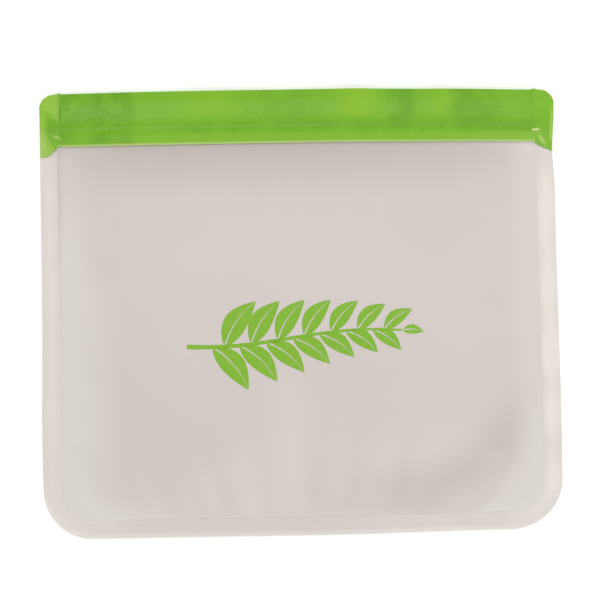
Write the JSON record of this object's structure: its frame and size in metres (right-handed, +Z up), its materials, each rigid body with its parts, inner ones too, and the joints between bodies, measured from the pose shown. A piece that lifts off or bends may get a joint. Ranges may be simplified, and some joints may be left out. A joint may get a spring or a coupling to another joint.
{
  "type": "reusable zip bag",
  "caption": "Flat reusable food bag: two frosted film panels welded along the sides and bottom, with coloured press-to-close strips across the mouth.",
  "frame": {"origin": "middle of the face the bag rests on when it lies on its back", "axes": "+X to the right along the mouth, +Y from the bottom towards the mouth, +Z up out of the front panel"},
  "size_m": [0.215, 0.187, 0.0095],
  "materials": {
    "film": "frosted translucent soft film",
    "weld": "fused, clearer and smoother than the film",
    "strip": "soft lime green plastic, smooth satin gloss",
    "lock": "soft lime green plastic, smooth"
  },
  "bodies": {
    "back": {"back_film": "film", "bottom_weld": "weld", "left_side_weld": "weld", "right_side_weld": "weld", "left_end_weld": "strip", "right_end_weld": "strip", "back_zip_strip": "strip", "lower_lock_channel": "lock", "upper_lock_channel": "lock"},
    "front": {"front_film": "film", "front_zip_strip": "strip", "lower_lock_rib": "lock", "upper_lock_rib": "lock"}
  },
  "joints": [
    {"name": "mouth_open", "type": "hinge", "parent": "back", "child": "front", "pos_m": [0, -0.086, 0.0004], "axis": [1, 0, 0], "range_deg": [0, 10]}
  ]
}
